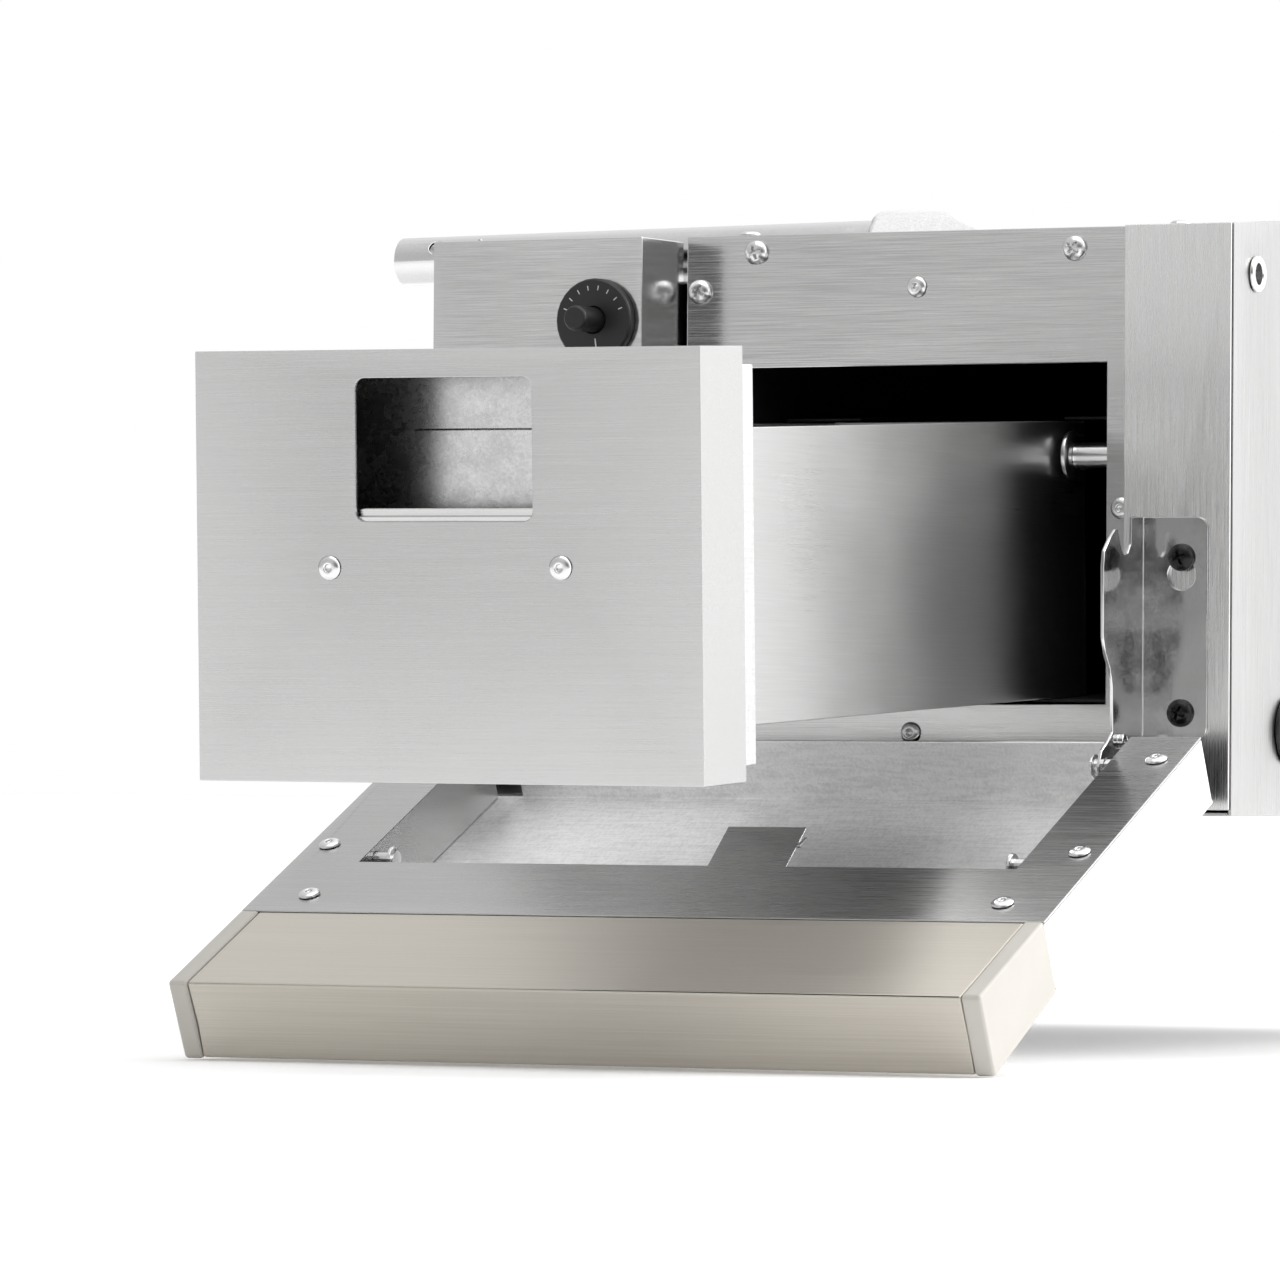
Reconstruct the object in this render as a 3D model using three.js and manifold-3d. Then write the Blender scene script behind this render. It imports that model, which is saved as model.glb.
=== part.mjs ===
// Built-in appliance module: steel housing with a pulled-out drawer and a drop-down door.
// Millimetres, +Z up, front faces -Y. Modelled from the housing's front lower left corner,
// then moved so that the origin is the middle of the housing's underside.
import * as THREE from 'three';
import { mergeVertices } from 'three/addons/utils/BufferGeometryUtils.js';
import Module from 'manifold-3d';

const wasm = await Module();
wasm.setup();

// ---- driving dimensions -------------------------------------------------------------------
const WIDTH = 336.5;
const HEIGHT = 221.4;
const DEPTH = 460;
const SHEET = 1.2;
const GAP = 0.3;
const RECESS = 35.3;            // front panel sits this far behind the pillar
const SIDE_TOP = 224.6;
const DECK_Z = 205;

const CONTROL_RIGHT = 90.7;
const PANEL_LEFT = 92.8;
const PANEL_RIGHT = 292.6;
const PANEL_TOP = 223.4;
const PILLAR_LEFT = 293.1;
const PLINTH = 2.2;

const OPEN_LEFT = 117;
const OPEN_RIGHT = 270.7;
const OPEN_BOTTOM = 41.9;
const OPEN_TOP = 171.8;

const LINER_LEFT = 116.5;
const LINER_RIGHT = 271.2;
const LINER_FLOOR = 27.5;
const LINER_ROOF = 198;
const LINER_BACK = 446;

const DRAWER_ORIGIN = new THREE.Vector3(95.6, -351.9, 10.9);
const DRAWER_PITCH = THREE.MathUtils.degToRad(2.73);
const DRAWER_ROLL = THREE.MathUtils.degToRad(0.35);
const FACE_W = 195.8;
const FACE_H = 149.3;
const BOX_DEPTH = 33;
const LIP_DEPTH = 42;
const BIN_LEFT = 45;
const BIN_RIGHT = 151.4;
const BIN_FLOOR = 15.5;
const BIN_TOP = 121;
const BIN_BACK = 425;

const DOOR_DROP = THREE.MathUtils.degToRad(25.14);
const DOOR_END = new THREE.Vector3(0, -21.05, 29.43);
const DOOR_LEFT = 7.5;
const DOOR_RIGHT = 334;
const DOOR_MID = (DOOR_LEFT + DOOR_RIGHT) / 2;
const ARM_W = 28.5;
const FRAME_LEN = 157.4;
const BAR_INNER = 114.3;
const DOOR_THICK = 27.2;
const PROFILE_END = 218;
const PROFILE_THICK = 31.1;
const CAP_W = 7.7;
const FLANGE_X = 300.8;         // hinge bracket's forward flange, right-hand side
const PIVOT_Y = -35;
const PIVOT_Z = 18;
const STOP_Y = -22.2;            // hollow bush pressed into the flange above the pivot
const STOP_Z = 27.6;

const TUBE_R = 9.5;
const TUBE_Y = 60;
const TUBE_TILT = THREE.MathUtils.degToRad(0.66);

// ---- materials ----------------------------------------------------------------------------
const paint = (color, roughness, metalness) =>
  new THREE.MeshStandardMaterial({ color, roughness, metalness });
const BRUSHED = paint(0xc4c4c2, 0.34, 1);
const POLISHED = paint(0xd6d6d4, 0.18, 1);
const CAST = paint(0xd9d9d6, 0.5, 1);
const CHAMPAGNE = paint(0xc8c1b5, 0.42, 0.9);
const CAP_WHITE = paint(0xe3dfd8, 0.45, 0);
const BLACK_STEEL = paint(0x17181a, 0.4, 0.8);
const BLACK_PLASTIC = paint(0x2a2b2d, 0.38, 0);
const LINER_BLACK = paint(0x0c0c0d, 0.7, 0.2);
const BOARD = paint(0x2f5c3c, 0.6, 0);

// ---- solid helpers ------------------------------------------------------------------------
function clean(geometry) {
  const bare = geometry.index ? geometry.toNonIndexed() : geometry.clone();
  bare.deleteAttribute('normal');
  bare.deleteAttribute('uv');
  const merged = mergeVertices(bare, 1e-4);
  const index = merged.index.array;
  const pos = merged.attributes.position;
  const kept = [];
  let volume = 0;
  const a = new THREE.Vector3();
  const b = new THREE.Vector3();
  const c = new THREE.Vector3();
  for (let i = 0; i < index.length; i += 3) {
    const [p, q, r] = [index[i], index[i + 1], index[i + 2]];
    if (p === q || q === r || r === p) continue;
    kept.push(p, q, r);
    a.fromBufferAttribute(pos, p);
    b.fromBufferAttribute(pos, q);
    c.fromBufferAttribute(pos, r);
    volume += a.dot(b.cross(c));
  }
  if (volume < 0) {
    for (let i = 0; i < kept.length; i += 3) {
      [kept[i], kept[i + 1]] = [kept[i + 1], kept[i]];
    }
  }
  merged.setIndex(kept);
  return merged;
}

function toSolid(geometry) {
  const g = clean(geometry);
  return new wasm.Manifold(new wasm.Mesh({
    numProp: 3,
    vertProperties: new Float32Array(g.attributes.position.array),
    triVerts: new Uint32Array(g.index.array),
  }));
}

function fromSolid(solid) {
  const m = solid.getMesh();
  const g = new THREE.BufferGeometry();
  g.setAttribute('position', new THREE.BufferAttribute(new Float32Array(m.vertProperties), 3));
  g.setIndex(new THREE.BufferAttribute(new Uint32Array(m.triVerts), 1));
  return g;
}

function join(...parts) {
  let whole = toSolid(parts[0]);
  for (const p of parts.slice(1)) whole = whole.add(toSolid(p));
  return fromSolid(whole);
}

function cut(body, ...tools) {
  let rest = toSolid(body);
  for (const t of tools) rest = rest.subtract(toSolid(t));
  return fromSolid(rest);
}

function block(x0, x1, y0, y1, z0, z1) {
  const g = new THREE.BoxGeometry(x1 - x0, y1 - y0, z1 - z0);
  return g.translate((x0 + x1) / 2, (y0 + y1) / 2, (z0 + z1) / 2);
}

function rodX(r, x0, x1, y, z, sides = 20) {
  const g = new THREE.CylinderGeometry(r, r, x1 - x0, sides);
  return g.rotateZ(Math.PI / 2).translate((x0 + x1) / 2, y, z);
}

function rodY(r, y0, y1, x, z, sides = 20) {
  const g = new THREE.CylinderGeometry(r, r, y1 - y0, sides);
  return g.translate(x, (y0 + y1) / 2, z);
}

function rodZ(r, z0, z1, x, y, sides = 20) {
  const g = new THREE.CylinderGeometry(r, r, z1 - z0, sides);
  return g.rotateX(Math.PI / 2).translate(x, y, (z0 + z1) / 2);
}

// outline given as [y, z] pairs, extruded along X
function profileX(points, x0, x1) {
  const shape = new THREE.Shape(points.map(([y, z]) => new THREE.Vector2(y, z)));
  const g = new THREE.ExtrudeGeometry(shape, { depth: x1 - x0, bevelEnabled: false });
  const turn = new THREE.Matrix4().makeBasis(
    new THREE.Vector3(0, 1, 0),
    new THREE.Vector3(0, 0, 1),
    new THREE.Vector3(1, 0, 0),
  );
  return g.applyMatrix4(turn).translate(x0, 0, 0);
}

function roundRect(x0, x1, z0, z1, radius) {
  const s = new THREE.Shape();
  s.moveTo(x0 + radius, z0);
  s.lineTo(x1 - radius, z0);
  s.absarc(x1 - radius, z0 + radius, radius, -Math.PI / 2, 0);
  s.lineTo(x1, z1 - radius);
  s.absarc(x1 - radius, z1 - radius, radius, 0, Math.PI / 2);
  s.lineTo(x0 + radius, z1);
  s.absarc(x0 + radius, z1 - radius, radius, Math.PI / 2, Math.PI);
  s.lineTo(x0, z0 + radius);
  s.absarc(x0 + radius, z0 + radius, radius, Math.PI, Math.PI * 1.5);
  return s;
}

// rounded rectangle in X and Z, extruded along Y
function roundedY(x0, x1, y0, y1, z0, z1, radius, steps = 4) {
  const g = new THREE.ExtrudeGeometry(roundRect(x0, x1, z0, z1, radius), {
    depth: y1 - y0,
    bevelEnabled: false,
    curveSegments: steps,
  });
  return g.rotateX(Math.PI / 2).translate(0, y1, 0);
}

// turned piece: [radius, height] pairs around +Z
function turned(points, sides = 10) {
  const g = new THREE.LatheGeometry(points.map(([r, h]) => new THREE.Vector2(r, h)), sides);
  return g.rotateX(Math.PI / 2);
}

// pop rivet: domed head above z = 0, barrel through a sheet, swollen tail behind it
function rivet(head, sheet = SHEET) {
  const back = -(sheet + GAP);
  return turned([
    [0, back - 3.2],
    [2.6, back - 2.6],
    [2.6, back - 0.4],
    [1.7, back],
    [1.7, GAP],
    [head, GAP],
    [head * 0.8, GAP + 1.1],
    [head * 0.34, GAP + 1.5],
    [head * 0.3, GAP + 0.6],
    [0, GAP + 0.6],
  ]);
}

// pan head screw with a cross recess, head above z = 0
function screw(head, rise, length) {
  const body = turned([
    [0, -length],
    [1.4, -length],
    [2.0, -length + 1],
    [2.0, GAP],
    [head, GAP],
    [head, GAP + rise * 0.35],
    [head * 0.72, GAP + rise * 0.85],
    [head * 0.3, GAP + rise],
    [0, GAP + rise],
  ], 12);
  const slotA = block(-head * 0.55, head * 0.55, -0.55, 0.55, GAP + rise * 0.3, GAP + rise + 1);
  const slotB = block(-0.55, 0.55, -head * 0.55, head * 0.55, GAP + rise * 0.3, GAP + rise + 1);
  return cut(body, slotA, slotB);
}

const faceFront = (g, x, y, z) => g.rotateX(Math.PI / 2).translate(x, y, z);
const faceUp = (g, x, y, z) => g.translate(x, y, z);
const holeFront = (x, z, y0, r = 2.3) => rodY(r, y0 - 3, y0 + 4, x, z, 12);

function named(name, geometry, material) {
  const g = clean(geometry);
  g.computeVertexNormals();
  const m = new THREE.Mesh(g, material);
  m.name = name;
  return m;
}

// copies of one fastener, numbered from 1
function addCopies(parent, base, pieces, material) {
  pieces.forEach((g, i) => parent.add(named(`${base}_${i + 1}`, g, material)));
}

// ---- groups -------------------------------------------------------------------------------
const cabinet = new THREE.Group();
const door = new THREE.Group();
door.position.copy(DOOR_END);
door.rotation.x = Math.PI + DOOR_DROP;
const drawer = new THREE.Group();
drawer.position.copy(DRAWER_ORIGIN);
drawer.rotation.order = 'YXZ';
drawer.rotation.set(DRAWER_PITCH, DRAWER_ROLL, 0);
const rails = new THREE.Group();
rails.position.copy(drawer.position);
rails.rotation.copy(drawer.rotation);

// ---- housing ------------------------------------------------------------------------------
const bottomPan = join(
  block(1.5, WIDTH - 1.5, 2, DEPTH - 1.5, 0, SHEET),
  block(96, WIDTH - 50, 30, 30 + SHEET, 0.6, 26),
);
cabinet.add(named('bottom_pan', bottomPan, BRUSHED));

const COLLAR_Y = 23.4;
const COLLAR_Z = 203.2;
const PLUG_Y = 56.5;
const PLUG_Z = 32.4;
const rightOutline = [
  [2, 0], [DEPTH - 1.5, 0], [DEPTH - 1.5, SIDE_TOP], [46, SIDE_TOP], [2, HEIGHT],
];
const sideRight = cut(
  profileX(rightOutline, WIDTH - SHEET, WIDTH),
  rodX(5.4, WIDTH - 4, WIDTH + 4, COLLAR_Y, COLLAR_Z, 16),
  rodX(9.4, WIDTH - 4, WIDTH + 4, PLUG_Y, PLUG_Z, 16),
);
cabinet.add(named('side_panel_right', sideRight, BRUSHED));

const leftOutline = [
  [RECESS + 1.6, 0], [DEPTH - 1.5, 0], [DEPTH - 1.5, SIDE_TOP], [80, SIDE_TOP],
  [76, DECK_Z + 1], [44, DECK_Z + 1], [40, SIDE_TOP], [RECESS + 1.6, SIDE_TOP],
];
cabinet.add(named('side_panel_left', profileX(leftOutline, 0, SHEET), BRUSHED));

const INLET_X = 52;
const INLET_Z = 60;
const backPanel = cut(
  block(0, WIDTH, DEPTH - SHEET, DEPTH, 0, SIDE_TOP),
  roundedY(INLET_X - 15, INLET_X + 15, DEPTH - 4, DEPTH + 4, INLET_Z - 12, INLET_Z + 12, 3, 2),
);
cabinet.add(named('back_panel', backPanel, BRUSHED));

const inlet = cut(
  join(
    roundedY(INLET_X - 14, INLET_X + 14, DEPTH - 20, DEPTH + 0.2, INLET_Z - 11, INLET_Z + 11, 3, 2),
    block(INLET_X - 25, INLET_X + 25, DEPTH + GAP, DEPTH + 2.8, INLET_Z - 15, INLET_Z + 15),
    block(INLET_X - 13, INLET_X + 13, DEPTH - 1, DEPTH + 1, INLET_Z - 10, INLET_Z + 10),
  ),
  roundedY(INLET_X - 11.5, INLET_X + 11.5, DEPTH - 14, DEPTH + 6, INLET_Z - 8.5, INLET_Z + 8.5, 2, 2),
);
cabinet.add(named('power_inlet', inlet, BLACK_PLASTIC));

cabinet.add(named('top_deck', block(1.5, WIDTH - 1.5, 37.2, DEPTH - 1.5, DECK_Z, DECK_Z + SHEET), BRUSHED));

// recessed front panel with the drawer opening
const P0 = RECESS;
const P1 = RECESS + SHEET;
const PANEL_SCREWS = [[122.9, 216.5], [257.2, 215.4], [98.6, 201.7]];
const PANEL_RIVETS = [[191.2, 201.9], [189.7, 30.9], [276.8, 116.3]];
const frontPanel = cut(
  join(
    block(PANEL_LEFT, PANEL_RIGHT, P0, P1, 27.4, PANEL_TOP),
    block(PANEL_LEFT, PANEL_RIGHT, P0, 46.2, PANEL_TOP - SHEET, PANEL_TOP),
  ),
  block(OPEN_LEFT, OPEN_RIGHT, P0 - 2, P1 + 0.2, OPEN_BOTTOM, OPEN_TOP),
  ...PANEL_SCREWS.map(([x, z]) => holeFront(x, z, P0)),
  ...PANEL_RIVETS.map(([x, z]) => holeFront(x, z, P0, 2.0)),
  rodZ(2.0, PANEL_TOP - 4, PANEL_TOP + 4, 117, 41.4, 12),
);
cabinet.add(named('front_panel', frontPanel, BRUSHED));

// folded pillar on the right
const PILLAR_SCREWS = [[317.5, 96.4], [317.3, 38.3]];
const pillarRight = cut(
  join(
    block(PILLAR_LEFT, WIDTH - 0.4, 0, SHEET, PLINTH, HEIGHT),
    block(PILLAR_LEFT, PILLAR_LEFT + SHEET, 0.5, RECESS + 1.5, PLINTH, HEIGHT),
    block(WIDTH - 3, WIDTH - 1.8, 0.5, 30, PLINTH, HEIGHT - 1),
    block(PILLAR_LEFT, WIDTH - 1.8, 0.5, 32, HEIGHT - SHEET, HEIGHT),
  ),
  ...PILLAR_SCREWS.map(([x, z]) => holeFront(x, z, 0)),
  rodZ(2.0, HEIGHT - 4, HEIGHT + 4, 311.7, 10, 12),
  rodX(5.6, WIDTH - 5, WIDTH, COLLAR_Y, COLLAR_Z, 16),
);
cabinet.add(named('pillar_right', pillarRight, BRUSHED));

// control box on the left, with the push switch
const SWITCH_X = 71.8;
const SWITCH_Z = 189.4;
const MIRROR = (x) => 2 * DOOR_MID - x;
const controlBox = cut(
  join(
    block(0, CONTROL_RIGHT, 0, SHEET, PLINTH, HEIGHT),
    block(0, SHEET, 0.5, RECESS + 1.2, PLINTH, HEIGHT),
    block(CONTROL_RIGHT - SHEET, CONTROL_RIGHT, 0.5, RECESS + 1.2, PLINTH, HEIGHT),
    block(0, CONTROL_RIGHT, 0.5, RECESS + 1.2, HEIGHT - SHEET, HEIGHT),
  ),
  rodY(13.4, -3, 4, SWITCH_X, SWITCH_Z, 28),
  ...PILLAR_SCREWS.map(([x, z]) => holeFront(MIRROR(x), z, 0)),
);
cabinet.add(named('control_box', controlBox, BRUSHED));

const STEM_R = 4.9;
const switchBody = cut(
  turned([
    [0, -24],
    [11, -24],
    [13, -22],
    [13, GAP],
    [16.2, GAP],
    [16.2, 3.4],
    [15.4, 4.3],
    [0, 4.3],
  ], 28).rotateX(Math.PI / 2).translate(SWITCH_X, 0, SWITCH_Z),
  rodY(STEM_R + 0.35, -8, 14, SWITCH_X, SWITCH_Z, 20),
);
cabinet.add(named('switch_body', switchBody, BLACK_PLASTIC));
const switchStem = turned([
  [0, -8],
  [STEM_R, -8],
  [STEM_R, 19.3],
  [STEM_R - 0.8, 20.2],
  [0, 20.2],
], 20).rotateX(Math.PI / 2).translate(SWITCH_X, 0, SWITCH_Z);
cabinet.add(named('switch_stem', switchStem, BLACK_PLASTIC));

// drawer housing inside, open at the front
const liner = cut(
  block(LINER_LEFT - SHEET, LINER_RIGHT + SHEET, 36.9, LINER_BACK, LINER_FLOOR - SHEET, LINER_ROOF + SHEET),
  block(LINER_LEFT, LINER_RIGHT, 30, LINER_BACK - SHEET, LINER_FLOOR, LINER_ROOF),
  rodX(5.5, LINER_RIGHT - 3, LINER_RIGHT + 4, 48, 136.7, 16),
  rodX(5.5, LINER_LEFT - 4, LINER_LEFT + 3, 48, 136.7, 16),
);
cabinet.add(named('drawer_liner', liner, LINER_BLACK));

// guide pins with a flange washer beside the drawer
function guidePin(sign) {
  const pin = turned([
    [0, 0],
    [8.6, 0],
    [10, 0.8],
    [10, 2.2],
    [8.4, 3.4],
    [5.1, 3.6],
    [5.1, 18.1],
    [5.1, 30],
    [0, 30],
  ], 20).rotateY(sign * Math.PI / 2);
  return pin;
}
cabinet.add(named('guide_pin_right', guidePin(1).translate(249.6, 48, 136.7), POLISHED));
cabinet.add(named('guide_pin_left', guidePin(-1).translate(137.9, 48, 136.7), POLISHED));

// C-section rails: the lower ledge carries the drawer, the upper one stops it tipping
const RAIL_Y0 = 392;
const RAIL_Y1 = 790;
const RAIL_RIGHT = LINER_RIGHT - DRAWER_ORIGIN.x - 2;
const RAIL_LEFT = LINER_LEFT - DRAWER_ORIGIN.x + 2;
function rail(xIn, xWall) {
  const side = Math.sign(xWall - xIn);
  const span = (a, b, y0, y1, z0, z1) => block(Math.min(a, b), Math.max(a, b), y0, y1, z0, z1);
  return join(
    span(xIn, xWall, RAIL_Y0, RAIL_Y1, 14.0, 15.2),
    span(xIn - side * 2, xWall, RAIL_Y0 + 36, RAIL_Y1, 121.4, 122.6),
    span(xWall - side * SHEET, xWall, RAIL_Y0 + 36, RAIL_Y1, 14.0, 122.6),
  );
}
rails.add(named('drawer_rail_right', rail(BIN_RIGHT - 8, RAIL_RIGHT), LINER_BLACK));
rails.add(named('drawer_rail_left', rail(BIN_LEFT + 8, RAIL_LEFT), LINER_BLACK));

// fixings of the housing
const panelScrew = ([x, z], i) => faceFront(screw(4.9, 2.9, 8).rotateZ(0.3 + i * 0.5), x, P0, z);
addCopies(cabinet, 'panel_screw', PANEL_SCREWS.map(panelScrew), POLISHED);
const panelRivet = ([x, z]) => faceFront(rivet(4.1), x, P0, z);
addCopies(cabinet, 'panel_rivet', PANEL_RIVETS.map(panelRivet), POLISHED);
addCopies(cabinet, 'top_rivet', [
  faceUp(rivet(4.1), 117, 41.4, PANEL_TOP),
  faceUp(rivet(4.4), 311.7, 10, HEIGHT),
], POLISHED);

// tapped collar and plug in the right side
const collar = turned([
  [4.0, -9],
  [5.0, -9],
  [5.0, GAP],
  [7.0, GAP],
  [7.0, 1.2],
  [6.4, 1.8],
  [4.6, 1.8],
  [4.0, 1.2],
  [4.0, -9],
], 20).rotateY(Math.PI / 2).translate(WIDTH, COLLAR_Y, COLLAR_Z);
cabinet.add(named('side_collar', collar, POLISHED));
const plug = turned([
  [0, -5],
  [9, -5],
  [9, GAP],
  [13, GAP],
  [13, 1.6],
  [11.5, 3],
  [0, 3],
], 24).rotateY(Math.PI / 2).translate(WIDTH, PLUG_Y, PLUG_Z);
cabinet.add(named('side_plug', plug, BLACK_PLASTIC));

// ---- cross tube on the deck ---------------------------------------------------------------
const tubeGroup = new THREE.Group();
tubeGroup.position.set(0, TUBE_Y, 218.3);
tubeGroup.rotation.y = -TUBE_TILT;
const tube = cut(
  rodX(TUBE_R, -44.8, 178, 0, 0, 24),
  rodX(TUBE_R - 1.3, -50, 190, 0, 0, 24),
  rodY(3.1, -20, 0, -26.6, 0, 14).rotateX(THREE.MathUtils.degToRad(-32)),
);
tubeGroup.add(named('cross_tube', tube, POLISHED));
cabinet.add(tubeGroup);

const SOCKET_X = 164;
const socketOutline = [
  [TUBE_Y - 13.2, DECK_Z + 1.5], [TUBE_Y + 16, DECK_Z + 1.5], [TUBE_Y + 16, 212],
  [TUBE_Y + 12.5, 224], [TUBE_Y + 7, 231.5], [TUBE_Y, 233.8], [TUBE_Y - 7, 231.5],
  [TUBE_Y - 12.2, 224],
];
const socketTool = new THREE.Matrix4().makeRotationY(-TUBE_TILT).setPosition(0, TUBE_Y, 218.3);
const socket = cut(
  profileX(socketOutline, SOCKET_X, 216),
  rodX(TUBE_R + GAP, SOCKET_X - 10, 178.6, 0, 0, 24).applyMatrix4(socketTool),
  new THREE.ExtrudeGeometry(new THREE.Shape([
    new THREE.Vector2(186, 240),
    new THREE.Vector2(186, 234.2),
    new THREE.Vector2(200, 230.5),
    new THREE.Vector2(220, 222),
    new THREE.Vector2(220, 240),
  ]), { depth: 60, bevelEnabled: false }).rotateX(Math.PI / 2).translate(0, TUBE_Y + 30, 0),
);
cabinet.add(named('tube_socket', socket, CAST));
const saddle = cut(
  block(28, 42, TUBE_Y - 13, TUBE_Y + 13, DECK_Z + 1.5, 217.4),
  rodX(TUBE_R + GAP, 20, 50, 0, 0, 24).applyMatrix4(socketTool),
);
cabinet.add(named('tube_saddle', saddle, CAST));

// ---- hinge brackets -----------------------------------------------------------------------
const flangeOutline = [
  [-0.3, 111.6], [-13, 111.6], [-13.4, 101], [-16, 97.6], [-19.4, 97], [-22, 99],
  [-25.4, 106.4], [-28, 106.2], [-33.5, 102.5], [-38, 98], [-39, 92], [-38.7, 66],
  [-36.5, 60], [-32.4, 54.5], [-30, 48], [-29.6, 31], [-34, 27.4], [-39.6, 24],
  [-42.2, 18], [-40, 12.6], [-35, 10.8], [-30, 12.6], [-24, 17.5], [-17, 21.5],
  [-10, 26], [-0.3, 28.3],
];
function bracketRight() {
  const keyhole = new THREE.Shape();
  keyhole.absarc(317.4, 89.8, 5.6, Math.PI * 0.66, Math.PI * 2.34);
  keyhole.lineTo(320.1, 96.6);
  keyhole.absarc(317.4, 96.6, 2.7, 0, Math.PI);
  const key = new THREE.ExtrudeGeometry(keyhole, { depth: 6, bevelEnabled: false, curveSegments: 10 });
  return cut(
    join(
      roundedY(FLANGE_X + 0.2, 327.8, -1.5, -0.3, 28.3, 111.6, 4.5, 4),
      block(FLANGE_X, 308, -1.5, -0.3, 28.3, 111.6),
      profileX(flangeOutline, FLANGE_X, FLANGE_X + SHEET),
      rodX(4.0, FLANGE_X - 2, FLANGE_X + 0.1, STOP_Y, STOP_Z, 18),
      rodX(2.9, FLANGE_X + 1, FLANGE_X + 3.2, STOP_Y, STOP_Z, 18),
    ),
    key.rotateX(Math.PI / 2).translate(0, 3, 0),
    rodY(2.3, -4, 4, 317.3, 38.3, 12),
    rodX(3.4, FLANGE_X - 3, FLANGE_X + 5, PIVOT_Y, PIVOT_Z, 16),
    rodX(2.0, FLANGE_X - 3, FLANGE_X + 5, STOP_Y, STOP_Z, 16),
  );
}
const mirrored = (g) => g.scale(-1, 1, 1).translate(2 * DOOR_MID, 0, 0);
cabinet.add(named('hinge_bracket_right', bracketRight(), POLISHED));
cabinet.add(named('hinge_bracket_left', mirrored(bracketRight()), POLISHED));

const blackScrews = [];
for (const [x, z] of PILLAR_SCREWS) {
  blackScrews.push(faceFront(screw(5.2, 3.2, 9).rotateZ(0.5), x, -1.5, z));
  blackScrews.push(faceFront(screw(5.2, 3.2, 9).rotateZ(0.2), MIRROR(x), -1.5, z));
}
addCopies(cabinet, 'bracket_screw', blackScrews, BLACK_STEEL);

// hinge pin with its clip
function hingePin() {
  return turned([
    [0, 0],
    [2.2, 0],
    [2.2, 1.2],
    [4.8, 1.2],
    [4.8, 2.2],
    [3.0, 2.2],
    [3.0, 13.6],
    [2.4, 14.2],
    [0, 14.2],
  ], 16).rotateY(Math.PI / 2).translate(FLANGE_X - 5.2, PIVOT_Y, PIVOT_Z);
}
cabinet.add(named('hinge_pin_right', hingePin(), POLISHED));
cabinet.add(named('hinge_pin_left', mirrored(hingePin()), POLISHED));

// ---- works inside the left bay ------------------------------------------------------------
const pump = join(
  roundedY(24, 84, 110, 190, 12, 82, 8, 3),
  rodY(26, 189, 300, 54, 46, 28),
  rodY(7, 299, 312, 54, 46, 16),
  rodZ(5, 81, 96, 40, 150, 14),
  block(20, 88, 120, 180, 1.5, 14),
  block(30, 78, 230, 280, 1.5, 24),
);
cabinet.add(named('pump_motor', pump, CAST));
const board = join(
  block(8, 9.6, 330, 420, 20, 120),
  block(9.5, 24, 345, 372, 30, 60),
  block(9.5, 19, 385, 410, 40, 90),
  block(SHEET + GAP, 8.1, 334, 340, 24, 30),
  block(SHEET + GAP, 8.1, 410, 416, 110, 116),
);
cabinet.add(named('control_board', board, BOARD));

// ---- door, in its own frame: X across, Y from the hinge to the handle, Z away from the room -
const armIn = [DOOR_LEFT + ARM_W, DOOR_RIGHT - ARM_W];
const STUD_U = 101.5;
const STUD_V = 4.8;
const pivotLocal = new THREE.Vector3(0, PIVOT_Y, PIVOT_Z).sub(DOOR_END)
  .applyAxisAngle(new THREE.Vector3(1, 0, 0), -(Math.PI + DOOR_DROP));
const DOOR_RIVETS = [[17.4, 20.8], [16.6, 100.4], [29.4, 143.4]];
const doorRivets = [];
const rivetHoles = [];
for (const [x, u] of DOOR_RIVETS) {
  for (const px of [x, MIRROR(x)]) {
    doorRivets.push(rivet(4.2, 1).rotateX(Math.PI).translate(px, u, 0));
    rivetHoles.push(rodZ(2.0, -3, 3, px, u, 12));
  }
}
const doorFrame = cut(
  join(
    block(DOOR_LEFT, armIn[0], 0, FRAME_LEN, 0, 1),
    block(armIn[1], DOOR_RIGHT, 0, FRAME_LEN, 0, 1),
    block(DOOR_LEFT, DOOR_RIGHT, BAR_INNER, FRAME_LEN, 0, 1),
    block(armIn[0] - 1, armIn[0], 1.6, BAR_INNER + 1, 0.5, 25.9),
    block(armIn[1], armIn[1] + 1, 1.6, BAR_INNER + 1, 0.5, 25.9),
  ),
  ...rivetHoles,
  rodX(3.4, armIn[0] - 4, armIn[0] + 4, pivotLocal.y, pivotLocal.z, 16),
  rodX(3.4, armIn[1] - 4, armIn[1] + 4, pivotLocal.y, pivotLocal.z, 16),
  rodX(2.8, armIn[0] - 4, armIn[0] + 4, STUD_U, STUD_V, 16),
  rodX(2.8, armIn[1] - 4, armIn[1] + 4, STUD_U, STUD_V, 16),
);
door.add(named('door_frame', doorFrame, BRUSHED));
addCopies(door, 'door_rivet', doorRivets, POLISHED);

const doorTray = join(
  block(DOOR_LEFT, DOOR_RIGHT, 0, FRAME_LEN, DOOR_THICK - 1, DOOR_THICK),
  block(DOOR_LEFT + 0.1, DOOR_LEFT + 1.1, 0.2, FRAME_LEN - 0.2, 1.3, DOOR_THICK - 0.5),
  block(DOOR_RIGHT - 1.1, DOOR_RIGHT - 0.1, 0.2, FRAME_LEN - 0.2, 1.3, DOOR_THICK - 0.5),
  block(46.4, 295, 0.1, 1.1, 2, DOOR_THICK - 0.5),
  block(DOOR_LEFT + 0.4, DOOR_RIGHT - 0.4, FRAME_LEN - 1.1, FRAME_LEN - 0.1, 1.5, DOOR_THICK - 0.5),
);
door.add(named('door_tray', doorTray, BRUSHED));

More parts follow.
